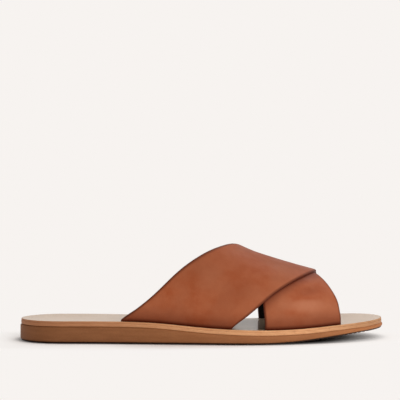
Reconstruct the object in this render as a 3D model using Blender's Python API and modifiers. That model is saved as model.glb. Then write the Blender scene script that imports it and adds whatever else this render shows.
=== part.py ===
"""Cross strap sandal, right shoe: outsole, midsole, insole and an upper of two crossed straps.

Frame: +X runs from heel to toe, +Y to the medial (big toe) side and +Z up, with the origin on the
floor under the middle of the footprint. Sizes and tables are in millimetres, meshes in metres.
"""

import math
from collections import namedtuple

import bmesh
import bpy
import numpy as np

MM = 0.001

# Main sizes of the sole, seen from above
LENGTH = 255.0
HEEL_ROUND = 30.0        # length of the round back of the heel
TOE_ROUND = 42.0         # length of the round front
HEEL_OFFSET = 2.8        # the heel's middle lies this far to the medial side of the origin
TOE_SWING = 5.0          # the toe tip lies this far to the medial side of the heel's middle
STATIONS = 48            # strips that the sole is cut into along its length

# Layers above the outsole
JOINT_GAP = 0.3          # free space between two layers
MIDSOLE_THICK = 2.0
INSOLE_THICK = 1.0

# Side walls, top to bottom: distance in from the outline, and height above or below the named face
EdgeRow = namedtuple("EdgeRow", "inset face offset")
OUTSOLE_EDGE = [
    EdgeRow(0.8, "top", 0.0),
    EdgeRow(0.2, "top", -0.5),
    EdgeRow(0.0, "bottom", 2.4),
    EdgeRow(0.4, "bottom", 1.0),
    EdgeRow(1.5, "bottom", 0.0),
]
MIDSOLE_EDGE = [
    EdgeRow(0.9, "top", 0.0),
    EdgeRow(0.6, "top", -0.4),
    EdgeRow(0.6, "bottom", 0.4),
    EdgeRow(1.1, "bottom", 0.0),
]
INSOLE_EDGE = [
    EdgeRow(1.3, "top", 0.0),
    EdgeRow(0.8, "top", -0.4),
    EdgeRow(0.8, "bottom", 0.0),
]

# Straps
STRAP_THICK = 2.2
STRAP_SINK = 1.85        # the under strap's outside lies this far below the top strap's
SINK_HEIGHT = 13.0       # above this height over the insole it is sunk all the way
FOOT_INSET = 2.6         # outside of a strap at its foot, in from the outline
BULGE_HEIGHT = 9.0       # a strap is widest this far above the insole
BULGE_OUT = 3.0          # and lies there this far outside its foot
CREST_SHIFT = 4.0        # the crest lies this far to the medial side of the middle
ROUNDNESS = 2.3          # exponent of the upper's section: 2 is an ellipse, more is squarer
WRAP_ROWS = 32           # strips across the foot, from one side of the sole to the other
WIDTH_ROWS = 8           # strips along the shoe, from a strap's rear edge to its front edge

# Sole, with back as the distance from the back of the heel: half widths on both sides of the line
# from heel to toe tip, before the ends are rounded, and heights of the outsole's two faces.
SoleRow = namedtuple("SoleRow", "back lateral medial top bottom")
SOLE = [
    SoleRow(0, 28.8, 29.2, 11.4, 0.0),
    SoleRow(25, 29.6, 28.4, 11.4, 0.0),
    SoleRow(45, 31.6, 26.4, 11.4, 0.0),
    SoleRow(62, 34.4, 22.8, 11.4, 0.0),
    SoleRow(78, 37.4, 19.5, 11.2, 0.0),
    SoleRow(92, 40.0, 18.2, 10.6, 0.0),
    SoleRow(106, 42.8, 19.4, 9.4, 0.0),
    SoleRow(123, 46.4, 24.1, 7.8, 0.0),
    SoleRow(140, 49.7, 30.3, 6.7, 0.0),
    SoleRow(157, 51.9, 35.7, 6.1, 0.0),
    SoleRow(168, 52.3, 38.3, 6.0, 0.1),
    SoleRow(178, 51.7, 39.5, 6.1, 0.5),
    SoleRow(191, 49.5, 39.7, 6.5, 1.3),
    SoleRow(205, 46.4, 38.4, 7.4, 2.8),
    SoleRow(218, 43.2, 37.0, 8.4, 4.3),
    SoleRow(233, 41.6, 36.6, 9.3, 5.9),
    SoleRow(247, 41.4, 36.6, 10.1, 6.9),
    SoleRow(255, 41.4, 36.6, 10.4, 7.2),
]

# Height of the upper's crest above the floor, on its outside
CrestRow = namedtuple("CrestRow", "back height")
CREST = [
    CrestRow(70, 101.0),
    CrestRow(100, 91.0),
    CrestRow(120, 82.5),
    CrestRow(140, 72.6),
    CrestRow(151, 66.3),
    CrestRow(157, 63.6),
    CrestRow(163, 60.9),
    CrestRow(171, 58.2),
    CrestRow(188, 52.9),
    CrestRow(205, 48.1),
    CrestRow(230, 41.5),
]

# Rear and front edge of each strap; wrap runs from 0 at the lateral foot, over 0.5 at the crest,
# to 1 at the medial foot.
StrapRow = namedtuple("StrapRow", "wrap rear front")
TOP_STRAP = [
    StrapRow(0.00, 68.4, 143.2),
    StrapRow(0.03, 81.0, 151.2),
    StrapRow(0.07, 92.0, 159.2),
    StrapRow(0.14, 106.5, 170.2),
    StrapRow(0.25, 126.0, 186.6),
    StrapRow(0.36, 141.0, 198.8),
    StrapRow(0.50, 152.0, 207.2),
    StrapRow(0.64, 160.0, 210.4),
    StrapRow(0.75, 165.5, 215.4),
    StrapRow(0.86, 169.2, 222.2),
    StrapRow(0.93, 170.5, 225.8),
    StrapRow(1.00, 171.0, 227.6),
]
UNDER_STRAP = [
    StrapRow(0.00, 165.7, 219.4),
    StrapRow(0.07, 165.0, 219.2),
    StrapRow(0.14, 163.9, 218.5),
    StrapRow(0.25, 161.6, 215.2),
    StrapRow(0.36, 158.4, 211.0),
    StrapRow(0.50, 153.5, 205.8),
    StrapRow(0.64, 147.0, 197.0),
    StrapRow(0.75, 134.5, 184.5),
    StrapRow(0.86, 116.5, 169.0),
    StrapRow(0.93, 101.5, 159.0),
    StrapRow(1.00, 80.5, 149.5),
]


def smooth_curve(xs, ys, at):
    """Smooth curve through a short table, which never overshoots its rows."""
    xs, ys = np.asarray(xs, float), np.asarray(ys, float)
    step = np.diff(xs)
    slope = np.diff(ys) / step
    tangent = np.zeros(len(xs))
    tangent[0], tangent[-1] = slope[0], slope[-1]
    for i in range(1, len(xs) - 1):
        if slope[i - 1] * slope[i] > 0:
            tangent[i] = 2 * slope[i - 1] * slope[i] / (slope[i - 1] + slope[i])
    at = np.clip(at, xs[0], xs[-1])
    i = np.clip(np.searchsorted(xs, at) - 1, 0, len(step) - 1)
    t = (at - xs[i]) / step[i]
    start = (1 + 2 * t) * (1 - t) ** 2 * ys[i] + t * (1 - t) ** 2 * step[i] * tangent[i]
    end = t * t * (3 - 2 * t) * ys[i + 1] + t * t * (t - 1) * step[i] * tangent[i + 1]
    return start + end


def from_table(table, name, at):
    first = table[0]._fields[0]
    places = [getattr(row, first) for row in table]
    return smooth_curve(places, [getattr(row, name) for row in table], at)


def edge_y(side, back):
    """Y of the outline; side is -1 on the lateral and 1 on the medial side."""
    half = np.where(side < 0, from_table(SOLE, "lateral", back), from_table(SOLE, "medial", back))
    heel = np.clip(1 - back / HEEL_ROUND, 0, 1)
    toe = np.clip(1 - (LENGTH - back) / TOE_ROUND, 0, 1)
    ends = np.sqrt(np.maximum(0, 1 - heel**2)) * np.sqrt(np.maximum(0, 1 - toe**2))
    return HEEL_OFFSET + TOE_SWING * back / LENGTH + side * half * ends


def outline(inset):
    """Loop of back and y, inset from the sole's outline: to the toe laterally, back medially."""
    turn = np.linspace(0, 2 * math.pi, 2 * STATIONS, endpoint=False)
    back = LENGTH * (1 - np.cos(turn)) / 2
    side = np.where(turn < math.pi, -1, 1)
    y = edge_y(side, back)
    along_x = np.roll(back, -1) - np.roll(back, 1)
    along_y = np.roll(y, -1) - np.roll(y, 1)
    length = np.hypot(along_x, along_y)
    return back - inset * along_y / length, y + inset * along_x / length


def layer_heights(layer):
    """Functions for the height of a layer's top and bottom face."""
    def outsole_top(back):
        return from_table(SOLE, "top", back)

    def floor_side(back):
        return from_table(SOLE, "bottom", back)

    def raised(amount):
        return lambda back: outsole_top(back) + amount

    midsole_bottom = JOINT_GAP
    insole_bottom = midsole_bottom + MIDSOLE_THICK + JOINT_GAP
    return {
        "outsole": {"top": outsole_top, "bottom": floor_side},
        "midsole": {"top": raised(midsole_bottom + MIDSOLE_THICK), "bottom": raised(midsole_bottom)},
        "insole": {"top": raised(insole_bottom + INSOLE_THICK), "bottom": raised(insole_bottom)},
    }[layer]


def last_surface(back, wrap):
    """Outside of the upper as it sits on the last, for arrays of back and wrap."""
    side = np.where(wrap < 0.5, -1.0, 1.0)
    base = layer_heights("insole")["top"](back)
    lateral, medial = edge_y(-1, back) + FOOT_INSET, edge_y(1, back) - FOOT_INSET
    crest_y = (lateral + medial) / 2 + CREST_SHIFT
    half = np.where(side < 0, crest_y - lateral, medial - crest_y) + BULGE_OUT
    rise = (from_table(CREST, "height", back) - base) * np.sin(math.pi * wrap) ** (2 / ROUNDNESS)
    tuck = BULGE_OUT * np.clip(1 - rise / BULGE_HEIGHT, 0, 1) ** 2
    out = half * np.abs(np.cos(math.pi * wrap)) ** (2 / ROUNDNESS) - tuck
    return np.stack([back - LENGTH / 2, crest_y + side * out, base + rise], axis=-1)


def outward(back, wrap):
    """Unit normal of the last's surface."""
    wrap_step, back_step = 0.002, 1.0
    before, after = np.clip(wrap - wrap_step, 0, 1), np.clip(wrap + wrap_step, 0, 1)
    across = last_surface(back, after) - last_surface(back, before)
    along = last_surface(back + back_step, wrap) - last_surface(back - back_step, wrap)
    normal = np.cross(along, across)
    return normal / np.linalg.norm(normal, axis=-1, keepdims=True)


def collection(name):
    made = bpy.data.collections.new(name)
    bpy.context.scene.collection.children.link(made)
    return made


def material(name, colour, roughness):
    made = bpy.data.materials.new(name)
    made.use_nodes = True
    shader = made.node_tree.nodes["Principled BSDF"]
    shader.inputs["Base Color"].default_value = (*colour, 1)
    shader.inputs["Roughness"].default_value = roughness
    shader.inputs["Metallic"].default_value = 0.0
    return made


def add_object(name, bm, into, finish=None):
    mesh = bpy.data.meshes.new(name)
    bm.to_mesh(mesh)
    bm.free()
    if finish:
        mesh.materials.append(finish)
    made = bpy.data.objects.new(name, mesh)
    into.objects.link(made)
    return made


def as_cutter(obj):
    obj.hide_render = True
    obj.display_type = "WIRE"


def smooth_shade(obj, sharp_degrees=40):
    obj.data.shade_smooth()
    obj.data.set_sharp_from_angle(angle=math.radians(sharp_degrees))


def sole_layer(name, edge_rows, into, finish):
    """Loft of a layer of the sole: loops down its side wall, closed by strips across both faces."""
    heights = layer_heights(name)
    bm = bmesh.new()
    loops = []
    for row in edge_rows:
        back, y = outline(row.inset)
        z = heights[row.face](back) + row.offset
        points = np.column_stack([back - LENGTH / 2, y, z]) * MM
        loops.append([bm.verts.new(point) for point in points])
    for upper, lower in zip(loops, loops[1:]):
        bmesh.ops.bridge_loops(bm, edges=closed_edges(bm, upper) + closed_edges(bm, lower))
    for loop in (loops[0], loops[-1]):
        close_with_strips(bm, loop)
    bmesh.ops.recalc_face_normals(bm, faces=bm.faces)
    made = add_object(name, bm, into, finish)
    smooth_shade(made)
    return made


def closed_edges(bm, loop):
    edges = []
    for a, b in zip(loop, loop[1:] + loop[:1]):
        edges.append(bm.edges.get((a, b)) or bm.edges.new((a, b)))
    return edges


def close_with_strips(bm, loop):
    """Faces across a loop: the point at each station meets its mirror on the other side."""
    count = len(loop)
    for i in range(STATIONS):
        corners = [loop[i], loop[i + 1], loop[count - i - 1], loop[-i]]
        bm.faces.new(list(dict.fromkeys(corners)))


def strap_sheet(name, table, sink, into):
    """Open surface of a strap's outside, from a flat grid that is wrapped over the last."""
    bm = bmesh.new()
    bmesh.ops.create_grid(bm, x_segments=WIDTH_ROWS, y_segments=WRAP_ROWS + 2, size=1.0)
    foot_step = 2 / (WRAP_ROWS + 2)
    for vert in bm.verts:
        across = (vert.co.x + 1) / 2
        turn = np.clip((vert.co.y + 1 - foot_step) / (2 - 2 * foot_step), 0, 1)
        wrap = (1 - math.cos(math.pi * turn)) / 2
        rear, front = from_table(table, "rear", wrap), from_table(table, "front", wrap)
        back = np.float64(rear + across * (front - rear))
        point = last_surface(back, wrap)
        rise = point[2] - layer_heights("insole")["top"](back)
        depth = sink * smooth_step(rise / SINK_HEIGHT)
        point = point - depth * outward(back, wrap)
        if abs(vert.co.y) > 1 - foot_step / 2:
            point[2] = layer_heights("midsole")["top"](back) + JOINT_GAP
        vert.co = point * MM
    made = add_object(name, bm, into)
    wall = made.modifiers.new("Leather", "SOLIDIFY")
    wall.thickness = STRAP_THICK * MM
    wall.offset = -1
    return made


def smooth_step(x):
    x = np.clip(x, 0, 1)
    return x * x * (3 - 2 * x)


def slot_cutter(name, side, rear, front, into):
    """Cutter for the slot where a strap goes down through the insole."""
    bm = bmesh.new()
    bmesh.ops.create_grid(bm, x_segments=WIDTH_ROWS, y_segments=1, size=1.0)
    for vert in bm.verts:
        across = (vert.co.x + 1) / 2
        back = np.float64(rear - JOINT_GAP + across * (front - rear + 2 * JOINT_GAP))
        point = last_surface(back, np.float64(0 if side < 0 else 1))
        below = vert.co.y * side > 0
        point[2] += -2 * INSOLE_THICK if below else INSOLE_THICK
        vert.co = point * MM
    made = add_object(name, bm, into)
    width = STRAP_THICK + 2 * JOINT_GAP
    wall = made.modifiers.new("Slot width", "SOLIDIFY")
    wall.thickness = width * MM
    wall.offset = 2 * JOINT_GAP / width - 1
    as_cutter(made)
    return made


def boolean(obj, name, operation, other):
    cut = obj.modifiers.new(name, "BOOLEAN")
    cut.operation = operation
    cut.solver = "EXACT"
    cut.object = other


def build_upper(into, cutters, finish):
    """Two straps of real thickness, joined where the top one crosses the under one."""
    upper = strap_sheet("upper", TOP_STRAP, 0.0, into)
    under = strap_sheet("under_strap", UNDER_STRAP, STRAP_SINK, cutters)
    as_cutter(under)
    boolean(upper, "Join under strap", "UNION", under)
    upper.data.materials.append(finish)
    under.data.materials.append(finish)
    smooth_shade(upper)
    smooth_shade(under)
    return upper


def build_insole(into, cutters, finish):
    insole = sole_layer("insole", INSOLE_EDGE, into, finish)
    for strap, table in (("top", TOP_STRAP), ("under", UNDER_STRAP)):
        for side, row in ((-1, table[0]), (1, table[-1])):
            name = "%s_slot_%s" % (strap, "lateral" if side < 0 else "medial")
            cutter = slot_cutter(name, side, row.rear, row.front, cutters)
            boolean(insole, name, "DIFFERENCE", cutter)
    return insole


def main():
    for obj in list(bpy.data.objects):
        bpy.data.objects.remove(obj)
    sandal = collection("cross_strap_sandal")
    cutters = collection("cutters")
    rubber = material("brown rubber", (0.22, 0.08, 0.035), 0.55)
    edge_leather = material("tan edge leather", (0.52, 0.28, 0.14), 0.5)
    footbed = material("natural footbed leather", (0.58, 0.46, 0.36), 0.45)
    strap_leather = material("brown strap leather", (0.33, 0.10, 0.045), 0.45)
    sole_layer("outsole", OUTSOLE_EDGE, sandal, rubber)
    sole_layer("midsole", MIDSOLE_EDGE, sandal, edge_leather)
    build_insole(sandal, cutters, footbed)
    build_upper(sandal, cutters, strap_leather)


main()
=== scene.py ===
"""Looks of the cross strap sandal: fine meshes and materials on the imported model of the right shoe.

All tables are in millimetres. They are the ones that the solids are made from, except that the top
strap's edges lie up to 1.2 mm further forward here.
"""

import math
from collections import namedtuple

import bmesh
import bpy
import numpy as np
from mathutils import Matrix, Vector


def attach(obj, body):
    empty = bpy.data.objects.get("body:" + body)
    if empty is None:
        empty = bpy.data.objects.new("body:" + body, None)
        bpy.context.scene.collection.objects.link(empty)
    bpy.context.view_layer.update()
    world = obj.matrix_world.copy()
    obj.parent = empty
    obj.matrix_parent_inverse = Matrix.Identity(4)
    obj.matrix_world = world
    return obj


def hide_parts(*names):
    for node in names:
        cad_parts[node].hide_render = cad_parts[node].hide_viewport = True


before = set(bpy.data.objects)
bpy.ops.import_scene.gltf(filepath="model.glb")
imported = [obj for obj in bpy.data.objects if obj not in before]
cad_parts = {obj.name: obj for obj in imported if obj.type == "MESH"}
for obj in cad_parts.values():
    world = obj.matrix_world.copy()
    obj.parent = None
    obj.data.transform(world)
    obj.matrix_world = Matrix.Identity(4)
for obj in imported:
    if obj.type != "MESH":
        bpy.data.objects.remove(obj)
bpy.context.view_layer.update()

MM = 0.001

# Main sizes of the sole, seen from above
LENGTH = 255.0
HEEL_ROUND = 30.0
TOE_ROUND = 42.0
HEEL_OFFSET = 2.8
TOE_SWING = 5.0

# Fine grooves across the tread
TREAD_PITCH = 3.4
TREAD_DEPTH = 0.35
TREAD_FADE = 3.0
HEEL_TREAD = (10, 66)
BALL_TREAD = (122, 240)

# Layers above the outsole
JOINT_GAP = 0.3
MIDSOLE_THICK = 2.0
INSOLE_THICK = 1.0
MIDSOLE_CLEAR = 0.05
INSOLE_CLEAR = 0.04
GROOVE_DEPTH = 0.6
GROOVE_REACH = 120.0

# Straps
STRAP_THICK = 2.2
STRAP_SINK = 1.85
SINK_HEIGHT = 13.0
FOOT_INSET = 2.6
BULGE_HEIGHT = 9.0
BULGE_OUT = 3.0
CREST_SHIFT = 4.0
ROUNDNESS = 2.3
WRAP_ROWS = 190
WIDTH_COLUMNS = 44
LINING_COLUMNS = 22
EDGE_ROUND_WIDTH = 1.6
EDGE_ROUND_DEPTH = 0.9
LINING_ROUND = 0.45
ROUND_STEPS = 5
EDGE_FAIRING = 0.022
LEAST_LEAN = 0.45
LEAN_REACH = 6.0
CREASE_FROM = 6.0
FOOT_CLEAR = 0.02
OFF_THE_LAP = 99.0
SLOT_CLEAR = 0.12

# Which of a piece's three finishes a face has
STRAP_OUTSIDE, STRAP_EDGE, STRAP_LINING = 0, 1, 2
LAYER_TOP, LAYER_WALL, LAYER_BOTTOM = 0, 1, 2

SoleRow = namedtuple("SoleRow", "back lateral medial top bottom")
SOLE = [
    SoleRow(0, 28.8, 29.2, 11.4, 0.0),
    SoleRow(25, 29.6, 28.4, 11.4, 0.0),
    SoleRow(45, 31.6, 26.4, 11.4, 0.0),
    SoleRow(62, 34.4, 22.8, 11.4, 0.0),
    SoleRow(78, 37.4, 19.5, 11.2, 0.0),
    SoleRow(92, 40.0, 18.2, 10.6, 0.0),
    SoleRow(106, 42.8, 19.4, 9.4, 0.0),
    SoleRow(123, 46.4, 24.1, 7.8, 0.0),
    SoleRow(140, 49.7, 30.3, 6.7, 0.0),
    SoleRow(157, 51.9, 35.7, 6.1, 0.0),
    SoleRow(168, 52.3, 38.3, 6.0, 0.1),
    SoleRow(178, 51.7, 39.5, 6.1, 0.5),
    SoleRow(191, 49.5, 39.7, 6.5, 1.3),
    SoleRow(205, 46.4, 38.4, 7.4, 2.8),
    SoleRow(218, 43.2, 37.0, 8.4, 4.3),
    SoleRow(233, 41.6, 36.6, 9.3, 5.9),
    SoleRow(247, 41.4, 36.6, 10.1, 6.9),
    SoleRow(255, 41.4, 36.6, 10.4, 7.2),
]

CrestRow = namedtuple("CrestRow", "back height")
CREST = [
    CrestRow(70, 101.0),
    CrestRow(100, 91.0),
    CrestRow(120, 82.5),
    CrestRow(140, 72.6),
    CrestRow(151, 66.3),
    CrestRow(157, 63.6),
    CrestRow(163, 60.9),
    CrestRow(171, 58.2),
    CrestRow(188, 52.9),
    CrestRow(205, 48.1),
    CrestRow(230, 41.5),
]

StrapRow = namedtuple("StrapRow", "wrap rear front")
TOP_STRAP = [
    StrapRow(0.00, 68.8, 143.2),
    StrapRow(0.03, 82.2, 151.2),
    StrapRow(0.07, 93.0, 159.2),
    StrapRow(0.14, 106.7, 170.2),
    StrapRow(0.25, 126.0, 186.6),
    StrapRow(0.36, 141.0, 199.2),
    StrapRow(0.50, 152.0, 208.3),
    StrapRow(0.64, 160.0, 211.4),
    StrapRow(0.75, 165.5, 215.4),
    StrapRow(0.86, 169.2, 222.2),
    StrapRow(0.93, 170.5, 225.8),
    StrapRow(1.00, 171.0, 227.6),
]
UNDER_STRAP = [
    StrapRow(0.00, 165.7, 219.4),
    StrapRow(0.07, 165.0, 219.2),
    StrapRow(0.14, 163.9, 218.5),
    StrapRow(0.25, 161.6, 215.2),
    StrapRow(0.36, 158.4, 211.0),
    StrapRow(0.50, 153.5, 205.8),
    StrapRow(0.64, 147.0, 197.0),
    StrapRow(0.75, 134.5, 184.5),
    StrapRow(0.86, 116.5, 169.0),
    StrapRow(0.93, 101.5, 159.0),
    StrapRow(1.00, 80.5, 149.5),
]


def smooth_curve(xs, ys, at):
    """Smooth curve through a short table, which never overshoots its rows."""
    xs, ys = np.asarray(xs, float), np.asarray(ys, float)
    step = np.diff(xs)
    slope = np.diff(ys) / step
    tangent = np.zeros(len(xs))
    tangent[0], tangent[-1] = slope[0], slope[-1]
    for i in range(1, len(xs) - 1):
        if slope[i - 1] * slope[i] > 0:
            tangent[i] = 2 * slope[i - 1] * slope[i] / (slope[i - 1] + slope[i])
    i = np.clip(np.searchsorted(xs, at) - 1, 0, len(step) - 1)
    t = (at - xs[i]) / step[i]
    start = (1 + 2 * t) * (1 - t) ** 2 * ys[i] + t * (1 - t) ** 2 * step[i] * tangent[i]
    end = t * t * (3 - 2 * t) * ys[i + 1] + t * t * (t - 1) * step[i] * tangent[i + 1]
    return start + end


def faired(table, name, spread):
    """The table's curve with its small kinks faired out over spread, as a function."""
    first = table[0]._fields[0]
    places = np.array([getattr(row, first) for row in table], float)
    values = [getattr(row, name) for row in table]
    fine = np.linspace(places[0], places[-1], 2001)
    curve = smooth_curve(places, values, fine)
    step = fine[1] - fine[0]
    reach = int(3 * spread / step)
    weights = np.exp(-0.5 * (np.arange(-reach, reach + 1) * step / spread) ** 2)
    before = curve[0] + (curve[1] - curve[0]) * np.arange(-reach, 0)
    after = curve[-1] + (curve[-1] - curve[-2]) * np.arange(1, reach + 1)
    padded = np.concatenate([before, curve, after])
    flat = np.convolve(padded, weights / weights.sum(), mode="valid")
    return lambda at: np.interp(at, fine, flat)


SOLE_CURVES = {name: faired(SOLE, name, 4.0) for name in ("lateral", "medial", "top", "bottom")}
CREST_CURVE = faired(CREST, "height", 2.5)


def edge_y(side, back):
    """Y of the outline; side is -1 on the lateral and 1 on the medial side."""
    half = np.where(np.less(side, 0), SOLE_CURVES["lateral"](back), SOLE_CURVES["medial"](back))
    heel = np.clip(1 - back / HEEL_ROUND, 0, 1)
    toe = np.clip(1 - (LENGTH - back) / TOE_ROUND, 0, 1)
    ends = np.sqrt(np.maximum(0, 1 - heel**2)) * np.sqrt(np.maximum(0, 1 - toe**2))
    return HEEL_OFFSET + TOE_SWING * back / LENGTH + side * half * ends


def outline(inset, extra, stations):
    """Loop of back and y, to the toe laterally and back medially, inset from the sole's outline.

    The inset is a number or a function of back, and extra is added to it.
    """
    turn = np.linspace(0, 2 * math.pi, 2 * stations, endpoint=False)
    back = LENGTH * (1 - np.cos(turn)) / 2
    side = np.where(turn < math.pi, -1, 1)
    y = edge_y(side, back)
    along_x = np.roll(back, -1) - np.roll(back, 1)
    along_y = np.roll(y, -1) - np.roll(y, 1)
    length = np.hypot(along_x, along_y)
    amount = (inset(back) if callable(inset) else inset) + extra
    return back - amount * along_y / length, y + amount * along_x / length


def outsole_top(back):
    return SOLE_CURVES["top"](back)


def outsole_bottom(back):
    return np.maximum(SOLE_CURVES["bottom"](back), 0.0)


def joint_groove(back):
    """How far the outsole's top edge is cut back below the midsole, most at the heel."""
    return GROOVE_DEPTH * np.exp(-((back / GROOVE_REACH) ** 2))


def midsole_bottom(back):
    return outsole_top(back) + MIDSOLE_CLEAR


def midsole_top(back):
    return outsole_top(back) + JOINT_GAP + MIDSOLE_THICK


def insole_bottom(back):
    return midsole_top(back) + INSOLE_CLEAR


def insole_top(back):
    return midsole_top(back) + JOINT_GAP + INSOLE_THICK


def smooth_step(x):
    x = np.clip(x, 0, 1)
    return x * x * (3 - 2 * x)


def last_surface(back, wrap):
    """Outside of the upper as it sits on the last, for arrays of back and wrap."""
    side = np.where(wrap < 0.5, -1.0, 1.0)
    base = insole_top(back)
    lateral, medial = edge_y(-1, back) + FOOT_INSET, edge_y(1, back) - FOOT_INSET
    crest_y = (lateral + medial) / 2 + CREST_SHIFT
    half = np.where(side < 0, crest_y - lateral, medial - crest_y) + BULGE_OUT
    rise = (CREST_CURVE(back) - base) * np.sin(math.pi * wrap) ** (2 / ROUNDNESS)
    tuck = BULGE_OUT * np.clip(1 - rise / BULGE_HEIGHT, 0, 1) ** 2
    out = half * np.abs(np.cos(math.pi * wrap)) ** (2 / ROUNDNESS) - tuck
    return np.stack([back - LENGTH / 2, crest_y + side * out, base + rise], axis=-1)


def outward(back, wrap):
    """Unit normal of the last's surface."""
    wrap_step, back_step = 0.002, 1.0
    before, after = np.clip(wrap - wrap_step, 0, 1), np.clip(wrap + wrap_step, 0, 1)
    across = last_surface(back, after) - last_surface(back, before)
    along = last_surface(back + back_step, wrap) - last_surface(back - back_step, wrap)
    normal = np.cross(along, across)
    return normal / np.linalg.norm(normal, axis=-1, keepdims=True)


def mesh_object(name, points, faces, finishes, face_finish, marks=None, sharp_degrees=38):
    """Object from points in millimetres; marks are named values stored on the points."""
    mesh = bpy.data.meshes.new(name)
    mesh.from_pydata((np.asarray(points) * MM).tolist(), [], faces)
    for finish in finishes:
        mesh.materials.append(finish)
    mesh.polygons.foreach_set("material_index", face_finish)
    for title, values in (marks or {}).items():
        layer = mesh.attributes.new(title, "FLOAT", "POINT")
        layer.data.foreach_set("value", np.asarray(values, np.float32))
    bm = bmesh.new()
    bm.from_mesh(mesh)
    bmesh.ops.recalc_face_normals(bm, faces=bm.faces)
    bm.to_mesh(mesh)
    bm.free()
    mesh.shade_smooth()
    mesh.set_sharp_from_angle(angle=math.radians(sharp_degrees))
    made = bpy.data.objects.new(name, mesh)
    bpy.context.scene.collection.objects.link(made)
    return made


WallRow = namedtuple("WallRow", "inset extra face lift")
OUTSOLE_WALL = [
    WallRow(joint_groove, 0.9, "top", 0.0),
    WallRow(joint_groove, 0.6, "top", -0.1),
    WallRow(joint_groove, 0.3, "top", -0.4),
    WallRow(0.0, 0.12, "top", -0.9),
    WallRow(0.0, 0.05, "top", -1.4),
    WallRow(0.0, 0.0, "bottom", 2.4),
    WallRow(0.0, 0.03, "bottom", 1.6),
    WallRow(0.0, 0.14, "bottom", 1.25),
    WallRow(0.0, 0.4, "bottom", 1.05),
    WallRow(0.0, 0.62, "bottom", 1.0),
    WallRow(0.0, 0.64, "bottom", 0.9),
    WallRow(0.0, 0.8, "bottom", 0.15),
    WallRow(0.0, 1.3, "bottom", 0.0),
]
OUTSOLE_TREAD_FROM = 8


def rounded_wall(inset, top_radius, bottom_radius):
    """Side wall of a layer, from top to bottom, with both edges rounded."""
    steps = 4
    turns = [math.pi / 2 * i / steps for i in range(steps + 1)]
    rows = []
    for turn in turns:
        extra, lift = top_radius * (1 - math.sin(turn)), -top_radius * (1 - math.cos(turn))
        rows.append(WallRow(inset, extra, "top", lift))
    for turn in turns:
        extra, lift = bottom_radius * (1 - math.cos(turn)), bottom_radius * (1 - math.sin(turn))
        rows.append(WallRow(inset, extra, "bottom", lift))
    return rows


def cap_rows(points, base, stations, cross, dish):
    """Grid of point numbers across the loop that starts at base; adds the points inside it."""
    grid = [[base] * (cross + 1)]
    for i in range(1, stations):
        left, right = base + i, base + 2 * stations - i
        row = [left]
        for k in range(1, cross):
            mix = k / cross
            point = np.array(points[left]) * (1 - mix) + np.array(points[right]) * mix
            if dish:
                point[2] -= dish(point[0] + LENGTH / 2, mix)
            points.append(tuple(point))
            row.append(len(points) - 1)
        grid.append(row + [right])
    grid.append([base + stations] * (cross + 1))
    return grid


def layer_object(name, wall, top, bottom, finishes, stations, cross, dish=None, tread_from=math.inf):
    """Fine loft of a layer of the sole, between the heights top and bottom.

    From the row tread_from on, the wall belongs to the grooved tread.
    """
    count = 2 * stations
    points, faces, finish_of = [], [], []
    for level, row in enumerate(wall):
        back, y = outline(row.inset, row.extra, stations)
        z = (top if row.face == "top" else bottom)(back) + row.lift
        if level > tread_from + 1:
            z = z + tread_groove(back)
        points += list(zip(back - LENGTH / 2, y, z))
    for level in range(len(wall) - 1):
        for i in range(count):
            j = (i + 1) % count
            a, b = level * count, (level + 1) * count
            faces.append((a + i, b + i, b + j, a + j))
            finish_of.append(LAYER_BOTTOM if level >= tread_from else LAYER_WALL)
    for level, finish, cap_dish in ((0, LAYER_TOP, dish), (len(wall) - 1, LAYER_BOTTOM, None)):
        grid = cap_rows(points, level * count, stations, cross, cap_dish)
        for one, two in zip(grid, grid[1:]):
            for k in range(cross):
                corners = list(dict.fromkeys([one[k], one[k + 1], two[k + 1], two[k]]))
                if len(corners) > 2:
                    faces.append(tuple(corners))
                    finish_of.append(finish)
    return mesh_object(name, points, faces, finishes, finish_of)


def tread_groove(back):
    """Depth of the fine grooves across the tread, under the heel and from the ball to the toes."""
    grooves = np.clip(np.cos(2 * math.pi * back / TREAD_PITCH), 0, 1) ** 0.7
    heel, ball = (
        smooth_step((back - start) / TREAD_FADE) * smooth_step((end - back) / TREAD_FADE)
        for start, end in (HEEL_TREAD, BALL_TREAD)
    )
    return TREAD_DEPTH * grooves * (heel + ball)


def footbed_dish(back, mix):
    """How far the footbed is pressed down at the heel, ball and toes; mix runs across it."""
    across = np.sin(math.pi * mix) ** 1.3
    heel = 0.7 * math.exp(-(((back - 34) / 24) ** 2))
    ball = 0.5 * math.exp(-(((back - 172) / 26) ** 2))
    toes = 0.35 * math.exp(-(((back - 226) / 14) ** 2))
    return (heel + ball + toes) * across


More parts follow.
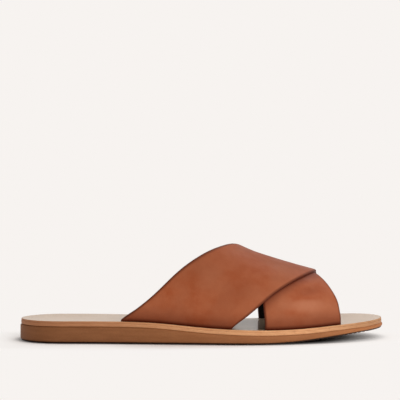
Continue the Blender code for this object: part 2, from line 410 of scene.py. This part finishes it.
def ring_profile(width):
    """Section across a strap as a loop: distance from its rear edge, depth below its outside, finish."""
    wide, deep, thick, inner = EDGE_ROUND_WIDTH, EDGE_ROUND_DEPTH, STRAP_THICK, LINING_ROUND
    turns = [math.pi / 2 * i / ROUND_STEPS for i in range(ROUND_STEPS + 1)]
    flat, span = width - 2 * wide, width - 2 * inner
    outside = [(wide + flat * i / WIDTH_COLUMNS, 0.0, STRAP_OUTSIDE) for i in range(WIDTH_COLUMNS + 1)]
    # The outer roundings keep the outside's finish for three steps, and then have the edge's
    finishes = [STRAP_OUTSIDE] * 3 + [STRAP_EDGE] * 2
    front = [
        (width - wide + wide * math.sin(t), deep - deep * math.cos(t), finish)
        for t, finish in zip(turns[1:], finishes)
    ]
    front_inner = [
        (width - inner + inner * math.cos(t), thick - inner + inner * math.sin(t), STRAP_EDGE)
        for t in turns
    ]
    lining = [
        (width - inner - span * i / LINING_COLUMNS, thick, STRAP_LINING)
        for i in range(1, LINING_COLUMNS + 1)
    ]
    rear_inner = [
        (inner - inner * math.sin(t), thick - inner + inner * math.cos(t), STRAP_EDGE)
        for t in turns[1:]
    ]
    rear = [
        (wide - wide * math.cos(t), deep - deep * math.sin(t), finish)
        for t, finish in zip(turns[:-1], reversed(finishes))
    ]
    return outside + front + front_inner + lining + rear_inner + rear


def edge_lean(edge, wrap):
    """1 where a strap's edge runs straight across the shoe, and less where it runs along it."""
    step = 0.004
    low, high = max(wrap - step, 0.0), min(wrap + step, 1.0)
    span = last_surface(np.array([edge(low), edge(high)]), np.array([low, high]))
    way = span[1] - span[0]
    way /= np.linalg.norm(way)
    return max(math.sqrt(max(1 - way[0] ** 2, 0.0)), LEAST_LEAN)


def strap_object(name, table, sink, creases, finishes):
    """A strap as a closed band of real thickness with rounded, dyed edges.

    Its points carry marks for the leather: rise above the footbed, rim as the distance to the nearest
    edge, fold as the crease height, and lap as the distance outside the top strap.
    """
    rear_edge, front_edge = (faired(table, side, EDGE_FAIRING) for side in ("rear", "front"))
    over_rear, over_front = (faired(TOP_STRAP, side, EDGE_FAIRING) for side in ("rear", "front"))
    wraps = (1 - np.cos(math.pi * np.linspace(0, 1, WRAP_ROWS))) / 2
    rows = [(0.0, True)] + [(wrap, False) for wrap in wraps] + [(1.0, True)]
    points = []
    marks = {"rise": [], "rim": [], "fold": [], "lap": []}
    for wrap, foot in rows:
        rear, front = float(rear_edge(wrap)), float(front_edge(wrap))
        lean_rear, lean_front = edge_lean(rear_edge, wrap), edge_lean(front_edge, wrap)
        width = front - rear
        loop = ring_profile(width)
        near_rear = np.array([place for place, _, _ in loop])
        near_front = width - near_rear
        rim = np.minimum(near_rear, near_front)
        back = np.array([rear + place for place, _, _ in loop])
        # Where an edge runs at a slant, its rounding is stretched so that it stays as wide
        at_rear = near_rear * (1 / lean_rear - 1)
        at_front = -near_front * (1 / lean_front - 1)
        stretch = np.where(near_rear < near_front, at_rear, at_front)
        fading = stretch * np.exp(-(rim - EDGE_ROUND_WIDTH) / LEAN_REACH)
        back = back + np.where(rim / EDGE_ROUND_WIDTH < 1, stretch, fading)
        depth = np.array([deep for _, deep, _ in loop])
        wrap_all = np.full(len(loop), wrap)
        surface = last_surface(back, wrap_all)
        normal = outward(back, wrap_all)
        rise = surface[:, 2] - insole_top(back)
        sunk = sink * smooth_step(rise / SINK_HEIGHT)
        fold = creases(back, wrap_all) * smooth_step(rise / CREASE_FROM)
        if foot:
            level = normal.copy()
            level[:, 2] = 0
            level /= np.linalg.norm(level, axis=1, keepdims=True)
            place = surface - level * depth[:, None]
            place[:, 2] = midsole_top(back) + FOOT_CLEAR
        else:
            place = surface - normal * (depth + sunk - fold)[:, None]
        points += place.tolist()
        lap = np.maximum(back - float(over_front(wrap)), float(over_rear(wrap)) - back)
        marks["rise"] += rise.tolist()
        marks["rim"] += rim.tolist()
        marks["fold"] += fold.tolist()
        marks["lap"] += lap.tolist() if sink else [OFF_THE_LAP] * len(loop)
    kinds = [kind for _, _, kind in ring_profile(1.0)]
    ring = len(kinds)
    faces, finish_of = [], []
    for level in range(len(rows) - 1):
        for i in range(ring):
            j = (i + 1) % ring
            a, b = level * ring, (level + 1) * ring
            faces.append((a + i, a + j, b + j, b + i))
            pair = {kinds[i], kinds[j]}
            finish_of.append(STRAP_EDGE if STRAP_EDGE in pair else pair.pop())
    for start in (0, (len(rows) - 1) * ring):
        faces.append(tuple(range(start, start + ring)))
        finish_of.append(STRAP_LINING)
    return mesh_object(name, points, faces, finishes, finish_of, marks, sharp_degrees=60)


def slot_cutter(row, wrap, finish):
    """Closed band a little larger than the foot of a strap that ends at this row and wrap."""
    back = np.linspace(row.rear - SLOT_CLEAR, row.front + SLOT_CLEAR, 60)
    wrap_all = np.full(len(back), wrap)
    line = last_surface(back, wrap_all)
    normal = outward(back, wrap_all)
    normal[:, 2] = 0
    normal /= np.linalg.norm(normal, axis=1, keepdims=True)
    outer, inner = line + normal * SLOT_CLEAR, line - normal * (STRAP_THICK + SLOT_CLEAR)
    points = []
    for edge in (outer, inner):
        for lift in (-2.0, 1.5):
            points += (edge + np.array([0, 0, lift])).tolist()
    n = len(back)
    faces = []
    for i in range(n - 1):
        for one, two in ((0, 1), (1, 3), (3, 2), (2, 0)):
            faces.append((one * n + i, two * n + i, two * n + i + 1, one * n + i + 1))
    faces += [(0, n, 3 * n, 2 * n), (n - 1, 2 * n - 1, 4 * n - 1, 3 * n - 1)]
    return mesh_object("slot_cutter", points, faces, [finish], [0] * len(faces))


def cut_slots(insole, finish):
    """Cuts the slots where the straps go down through the insole."""
    cutters = []
    for table in (TOP_STRAP, UNDER_STRAP):
        for row in (table[0], table[-1]):
            cutters.append(slot_cutter(row, row.wrap, finish))
    for number, cutter in enumerate(cutters):
        cut = insole.modifiers.new("slot_%d" % number, "BOOLEAN")
        cut.operation, cut.solver, cut.object = "DIFFERENCE", "EXACT", cutter
    evaluated = insole.evaluated_get(bpy.context.evaluated_depsgraph_get())
    mesh = bpy.data.meshes.new_from_object(evaluated)
    insole.modifiers.clear()
    insole.data = mesh
    for cutter in cutters:
        bpy.data.objects.remove(cutter)


def soft_ridge(back, wrap, at_back, at_wrap, lean, length, width, height):
    """A soft ridge, or a trough below 0, on a strap: its middle, lean in degrees and sizes in mm."""
    girth = 130.0
    x, y = back - at_back, (wrap - at_wrap) * girth
    turn = math.radians(lean)
    along = x * math.cos(turn) + y * math.sin(turn)
    beside = -x * math.sin(turn) + y * math.cos(turn)
    return height * np.exp(-((along / length) ** 2) - (beside / width) ** 2)


def top_strap_creases(back, wrap):
    return (
        soft_ridge(back, wrap, 150, 0.16, 35, 30, 9, -0.6)
        + soft_ridge(back, wrap, 168, 0.27, 30, 26, 8, 0.45)
        + soft_ridge(back, wrap, 124, 0.12, 42, 24, 7, 0.45)
        + soft_ridge(back, wrap, 108, 0.055, 38, 18, 5, -0.35)
        + soft_ridge(back, wrap, 186, 0.40, 20, 20, 7, -0.35)
        + soft_ridge(back, wrap, 200, 0.84, -60, 20, 7, -0.45)
        + soft_ridge(back, wrap, 206, 0.78, -60, 18, 6, 0.35)
    )


def under_strap_creases(back, wrap):
    return (
        soft_ridge(back, wrap, 193, 0.105, 8, 18, 7.5, 0.85)
        + soft_ridge(back, wrap, 182, 0.045, 12, 15, 5, -0.45)
        + soft_ridge(back, wrap, 196, 0.20, 30, 15, 6, -0.6)
        + soft_ridge(back, wrap, 130, 0.90, -40, 20, 7, -0.45)
        + soft_ridge(back, wrap, 122, 0.86, -40, 18, 6, 0.35)
    )


def colour(red, green, blue):
    """Scene colour from the 0 to 255 values of a display."""
    return tuple(((value / 255 + 0.055) / 1.055) ** 2.4 for value in (red, green, blue)) + (1.0,)


def add_node(tree, kind, inputs=None, **settings):
    """Shader node with its settings, and its inputs linked or set."""
    made = tree.nodes.new("ShaderNode" + kind)
    for name, value in settings.items():
        setattr(made, name, value)
    for name, value in (inputs or {}).items():
        if isinstance(value, bpy.types.NodeSocket):
            tree.links.new(value, made.inputs[name])
        else:
            made.inputs[name].default_value = value
    return made


def start_material(name, roughness, **fixed):
    """New material: itself, its tree, its shader and its object coordinates."""
    made = bpy.data.materials.new(name)
    made.use_nodes = True
    tree = made.node_tree
    shader = tree.nodes["Principled BSDF"]
    shader.inputs["Roughness"].default_value = roughness
    for key, value in fixed.items():
        shader.inputs[key.replace("_", " ")].default_value = value
    place = add_node(tree, "TexCoord").outputs["Object"]
    return made, tree, shader, place


def noise(tree, place, scale, detail, stretch=None):
    if stretch:
        place = add_node(tree, "Mapping", {"Vector": place, "Scale": stretch}).outputs[0]
    inputs = {"Vector": place, "Scale": scale, "Detail": detail, "Roughness": 0.55}
    return add_node(tree, "TexNoise", inputs).outputs["Fac"]


def spread(tree, value, low, high, to_low, to_high):
    """Maps low to high onto to_low to to_high, clamped and eased."""
    inputs = {"Value": value, "From Min": low, "From Max": high, "To Min": to_low, "To Max": to_high}
    return add_node(tree, "MapRange", inputs, interpolation_type="SMOOTHSTEP").outputs["Result"]


def blend_colours(tree, share, one, two):
    inputs = {0: share, 6: one, 7: two}
    return add_node(tree, "Mix", inputs, data_type="RGBA").outputs[2]


def combine(tree, operation, one, two):
    return add_node(tree, "Math", {0: one, 1: two}, operation=operation).outputs[0]


def mark(tree, name):
    """A value that strap_object stored on the points."""
    return add_node(tree, "Attribute", attribute_name=name).outputs["Fac"]


def openness(tree, distance):
    """1 in the open, less where another surface is within this distance in metres; used for painted shade.
    """
    return add_node(tree, "AmbientOcclusion", {"Distance": distance}).outputs["AO"]


def along_shoe(tree, place):
    """Metres along the shoe, from the middle to the toe."""
    return add_node(tree, "SeparateXYZ", {"Vector": place}).outputs["X"]


def leather_pores(tree, place, scale):
    inputs = {"Vector": place, "Scale": scale}
    return add_node(tree, "TexVoronoi", inputs, feature="SMOOTH_F1").outputs["Distance"]


def set_bump(tree, shader, *layers):
    """Bump layers as pairs of height and depth in millimetres."""
    normal = None
    for height, depth in layers:
        inputs = {"Height": height, "Distance": depth * MM, "Strength": 1.0}
        bump = add_node(tree, "Bump", inputs)
        if normal:
            tree.links.new(normal, bump.inputs["Normal"])
        normal = bump.outputs["Normal"]
    tree.links.new(normal, shader.inputs["Normal"])


def strap_leather():
    """Smooth vegetable tanned leather with cloudy dye and small pores.

    It is paler on the creases' ridges, partly as leather pales where it stretches and partly as a painted
    highlight. It has painted shade in the troughs, high up, at the base, beside the top strap and where
    another surface is near, and is darker at the edges, partly by dye and partly as painted shade.
    """
    made, tree, shader, place = start_material("strap_leather", 0.5, Specular_IOR_Level=0.21)
    shader.inputs["Specular Tint"].default_value = (1.0, 0.68, 0.48, 1.0)
    clouds = spread(tree, noise(tree, place, 34, 3), 0.35, 0.65, 0, 1)
    mottle = spread(tree, noise(tree, place, 150, 5), 0.3, 0.7, 0, 1)
    tone = blend_colours(tree, clouds, colour(150, 72, 38), colour(153, 85, 55))
    tone = blend_colours(tree, combine(tree, "MULTIPLY", mottle, 0.45), tone, colour(166, 95, 63))
    fold, rise, rim, lap = (mark(tree, name) for name in ("fold", "rise", "rim", "lap"))
    tones = [
        # Paler on the creases' ridges: partly leather that pales where it stretches, partly a painted
        # highlight.
        (spread(tree, fold, 0.05, 0.8, 0.0, 0.55), (181, 118, 88)),
        # Painted shade in the creases' troughs.
        (spread(tree, fold, -0.6, -0.1, 0.35, 0.0), (120, 52, 26)),
        # Painted shade, darker high up on the straps.
        (spread(tree, rise, 16.0, 46.0, 0.0, 0.34), (116, 54, 30)),
        # Painted shade low on the straps, deepest right at their base.
        (spread(tree, rise, 0.0, 14.0, 0.6, 0.0), (96, 37, 18)),
        (spread(tree, rise, 0.0, 3.2, 0.8, 0.0), (50, 15, 6)),
        # Darker near the edges: partly dyed edges, partly painted shade where the surface turns away.
        (spread(tree, rim, 0.4, 2.0, 0.8, 0.0), (84, 36, 20)),
        # Painted shadow of the top strap on the under strap, beside its edge.
        (spread(tree, lap, -2.0, 11.0, 0.75, 0.0), (98, 36, 15)),
        # Painted shade where another surface is near.
        (spread(tree, openness(tree, 0.014), 0.55, 1.0, 0.8, 0.0), (88, 30, 12)),
    ]
    for share, values in tones:
        tone = blend_colours(tree, share, tone, colour(*values))
    tree.links.new(tone, shader.inputs["Base Color"])
    rough = spread(tree, noise(tree, place, 60, 4), 0.3, 0.7, 0.44, 0.55)
    tree.links.new(rough, shader.inputs["Roughness"])
    waves, grain = noise(tree, place, 70, 4), noise(tree, place, 420, 5)
    set_bump(tree, shader, (waves, 0.25), (grain, 0.05), (leather_pores(tree, place, 1500.0), 0.035))
    return made


def strap_edge():
    """Cut edge of a strap, dyed dark and burnished."""
    made, tree, shader, place = start_material("strap_edge", 0.6, Specular_IOR_Level=0.12)
    fibres = noise(tree, place, 500, 5)
    tone = blend_colours(tree, spread(tree, fibres, 0.3, 0.7, 0, 1), colour(78, 32, 17), colour(98, 44, 26))
    tree.links.new(tone, shader.inputs["Base Color"])
    set_bump(tree, shader, (fibres, 0.06))
    return made


def strap_lining():
    """Inside of a strap, nearly black, with a short nap."""
    made, tree, shader, place = start_material("strap_lining", 0.8, Specular_IOR_Level=0.1)
    nap = noise(tree, place, 900, 6)
    tone = blend_colours(tree, spread(tree, nap, 0.3, 0.7, 0, 1), colour(14, 9, 6), colour(24, 16, 12))
    tree.links.new(tone, shader.inputs["Base Color"])
    set_bump(tree, shader, (nap, 0.08), (noise(tree, place, 60, 3), 0.2))
    return made


def footbed_leather():
    """Natural undyed leather with a slight gloss, and painted shade where another surface is near."""
    gloss = {"Specular_IOR_Level": 0.3, "Coat_Weight": 0.42, "Coat_Roughness": 0.13}
    made, tree, shader, place = start_material("footbed_leather", 0.45, **gloss)
    clouds = spread(tree, noise(tree, place, 26, 4), 0.3, 0.7, 0, 1)
    mottle = spread(tree, noise(tree, place, 240, 5), 0.3, 0.7, 0, 1)
    tone = blend_colours(tree, clouds, colour(189, 160, 131), colour(200, 172, 145))
    tone = blend_colours(tree, combine(tree, "MULTIPLY", mottle, 0.3), tone, colour(184, 153, 120))
    # Painted shade where another surface is near, most under the straps.
    covered_shade = spread(tree, openness(tree, 0.035), 0.25, 0.85, 0.7, 0.0)
    tone = blend_colours(tree, covered_shade, tone, colour(84, 62, 46))
    tree.links.new(tone, shader.inputs["Base Color"])
    grain = noise(tree, place, 380, 5)
    set_bump(tree, shader, (grain, 0.05), (leather_pores(tree, place, 1300.0), 0.03))
    return made


def painted_light_along(tree, place, tone, heel, ball, toe):
    """Multiplies a tone's value: by heel times ball at the rear, then by ball, and by toe at the front."""
    # The value it gives is painted light and shade along the shoe.
    along = along_shoe(tree, place)
    rear = spread(tree, along, -0.13, 0.035, heel, 1.0)
    front = spread(tree, along, 0.06, 0.125, ball, toe)
    value = combine(tree, "MULTIPLY", rear, front)
    return add_node(tree, "HueSaturation", {"Value": value, "Color": tone}).outputs["Color"]


def tan_edge(name):
    """Cut edge of tan leather board with its fibres along the edge, redder at the heel, with painted light
    and shade.
    """
    made, tree, shader, place = start_material(name, 0.55, Specular_IOR_Level=0.2)
    fibres = noise(tree, place, 1.0, 6, stretch=(160, 160, 1500))
    flecks = noise(tree, place, 1.0, 5, stretch=(420, 420, 900))
    fibre_share = spread(tree, fibres, 0.32, 0.68, 0, 1)
    tone = blend_colours(tree, fibre_share, colour(179, 127, 87), colour(190, 141, 100))
    tone = blend_colours(tree, spread(tree, flecks, 0.5, 0.75, 0.0, 0.3), tone, colour(144, 93, 58))
    # Redder towards the heel, and darker there as painted shade.
    redder = spread(tree, along_shoe(tree, place), -0.13, 0.03, 0.6, 0.0)
    tone = blend_colours(tree, redder, tone, colour(168, 103, 66))
    tree.links.new(painted_light_along(tree, place, tone, 0.62, 1.36, 0.88), shader.inputs["Base Color"])
    set_bump(tree, shader, (fibres, 0.05), (flecks, 0.04))
    return made


def outsole_rubber(name, tread):
    """Matt brown rubber, paler towards the toe as painted light; the tread is much darker, partly as
    painted shade.
    """
    made, tree, shader, place = start_material(name, 0.62, Specular_IOR_Level=0.15)
    streaks = noise(tree, place, 1.0, 5, stretch=(60, 60, 520))
    grain = noise(tree, place, 900, 4)
    dark, light, specks = (128, 80, 47), (136, 87, 53), (110, 68, 40)
    # The dark tread also covers the lowest millimetre of the side wall, where it stands partly for the
    # shadow along the bottom edge.
    if tread:
        dark, light, specks = (44, 28, 20), (54, 36, 26), (34, 22, 16)
    tone = blend_colours(tree, spread(tree, streaks, 0.3, 0.7, 0, 1), colour(*dark), colour(*light))
    tone = blend_colours(tree, spread(tree, grain, 0.3, 0.7, 0.0, 0.25), tone, colour(*specks))
    tree.links.new(painted_light_along(tree, place, tone, 0.67, 1.4, 1.8), shader.inputs["Base Color"])
    set_bump(tree, shader, (grain, 0.05), (streaks, 0.03))
    return made


def add_to_object(piece, node):
    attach(piece, "root")
    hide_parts(node)


def build_pieces():
    rubber = [outsole_rubber("outsole_rubber", False), outsole_rubber("tread_rubber_and_shade", True)]
    edge = tan_edge("midsole_edge")
    footbed = footbed_leather()
    straps = [strap_leather(), strap_edge(), strap_lining()]
    # The lowest rows of the outsole's wall take the tread's dark rubber, partly as painted shade along the
    # bottom edge.
    finishes = [rubber[0], rubber[0], rubber[1]]
    outsole = layer_object(
        "outsole_sole", OUTSOLE_WALL, outsole_top, outsole_bottom, finishes, 560, 10,
        tread_from=OUTSOLE_TREAD_FROM,
    )
    add_to_object(outsole, "outsole")

    wall = rounded_wall(0.6, 0.25, 0.35)
    midsole = layer_object("midsole_board", wall, midsole_top, midsole_bottom, [edge] * 3, 170, 14)
    add_to_object(midsole, "midsole")

    wall = rounded_wall(0.75, 0.45, 0.12)
    finishes = [footbed, edge, edge]
    insole = layer_object(
        "insole_leather", wall, insole_top, insole_bottom, finishes, 170, 28, footbed_dish
    )
    cut_slots(insole, edge)
    add_to_object(insole, "insole")

    for name, table, sink, creases in (
        ("strap_top", TOP_STRAP, 0.0, top_strap_creases),
        ("strap_under", UNDER_STRAP, STRAP_SINK, under_strap_creases),
    ):
        add_to_object(strap_object(name, table, sink, creases, straps), "upper")


PAPER = colour(247, 243, 240)
SHOE_MIDDLE = Vector((0, 0, 0.03))


def build_floor():
    """Pale floor that takes the shoe's soft shadows near it and is lit from itself further out.

    The material paints a shadow on the floor where the shoe is close above it, except under the toe and
    behind the heel, where that would be too dark.
    """
    mesh = bpy.data.meshes.new("floor")
    half = 6.0
    corners = [(-half, -half, 0), (half, -half, 0), (half, half, 0), (-half, half, 0)]
    mesh.from_pydata(corners, [], [(0, 1, 2, 3)])
    floor = bpy.data.objects.new("floor", mesh)
    bpy.context.scene.collection.objects.link(floor)
    made, tree, shader, place = start_material("floor_paper", 0.9)
    along = along_shoe(tree, place)
    # Painted shadow: the floor is darker where the shoe is close above it.
    pale = spread(tree, openness(tree, 0.0095), 0.42, 0.95, 0.0, 1.0)
    pale = combine(tree, "MAXIMUM", pale, spread(tree, along, 0.075, 0.11, 0.0, 0.85))
    pale = combine(tree, "MAXIMUM", pale, spread(tree, along, -0.14, -0.12, 0.8, 0.0))
    tone = blend_colours(tree, pale, colour(52, 36, 28), colour(247, 244, 241))
    tree.links.new(tone, shader.inputs["Base Color"])
    shader.inputs["Specular IOR Level"].default_value = 0.1
    glow = add_node(tree, "Emission", {"Color": PAPER, "Strength": 1.0}).outputs[0]
    half_length, half_width = 0.128, 0.0505
    inputs = {"Vector": place, "Location": (0.2, 0, 0)}
    inputs["Scale"] = (1 / half_length, 1 / half_width, 1.0)
    oval = add_node(tree, "Mapping", inputs).outputs[0]
    far = add_node(tree, "VectorMath", {0: oval}, operation="LENGTH").outputs["Value"]
    ends = spread(tree, combine(tree, "MULTIPLY", along, along), 0.0135, 0.0235, 0.0, 1.0)
    share = combine(tree, "MAXIMUM", spread(tree, far, 0.95, 1.5, 0.0, 1.0), ends)
    mixed = add_node(tree, "MixShader", {0: share, 1: shader.outputs[0], 2: glow}).outputs[0]
    tree.links.new(mixed, tree.nodes["Material Output"].inputs["Surface"])
    mesh.materials.append(made)


def area_light(name, place, size, power):
    """Soft square light that faces the shoe."""
    data = bpy.data.lights.new(name, "AREA")
    data.size = size
    data.energy = power
    lamp = bpy.data.objects.new(name, data)
    bpy.context.scene.collection.objects.link(lamp)
    lamp.location = place
    lamp.rotation_mode = "QUATERNION"
    way = Vector(place) - SHOE_MIDDLE
    lamp.rotation_quaternion = way.to_track_quat("Z", "Y")


def build_studio():
    world = bpy.data.worlds.new("studio")
    world.use_nodes = True
    tree = world.node_tree
    background = tree.nodes["Background"]
    background.inputs["Color"].default_value = PAPER
    way = add_node(tree, "TexCoord").outputs["Generated"]
    height = add_node(tree, "SeparateXYZ", {"Vector": way}).outputs["Z"]
    tree.links.new(spread(tree, height, 0.12, 0.4, 1.0, 0.36), background.inputs["Strength"])
    bpy.context.scene.world = world
    bpy.context.scene.view_settings.view_transform = "Standard"
    area_light("key", (0.6, -0.8, 0.62), 1.3, 9.3)
    area_light("overhead", (0.25, 0.4, 1.2), 1.4, 8.8)


def build_camera():
    """The photo's view: the lateral side from slightly behind and slightly above."""
    data = bpy.data.cameras.new("camera")
    data.lens = 140.8
    data.sensor_width = 36.0
    camera = bpy.data.objects.new("camera", data)
    bpy.context.scene.collection.objects.link(camera)
    turn, lift, distance = math.radians(-4.7), math.radians(4.7), 1.1
    back = Vector((math.sin(turn) * math.cos(lift), -math.cos(turn) * math.cos(lift), math.sin(lift)))
    camera.location = Vector((0, 0.0028, 0.03)) + back * distance
    aim = Vector((-0.0022, 0.0028, 0.09665))
    camera.rotation_mode = "QUATERNION"
    camera.rotation_quaternion = (camera.location - aim).to_track_quat("Z", "Y")
    bpy.context.scene.camera = camera


build_pieces()
build_floor()
build_studio()
build_camera()
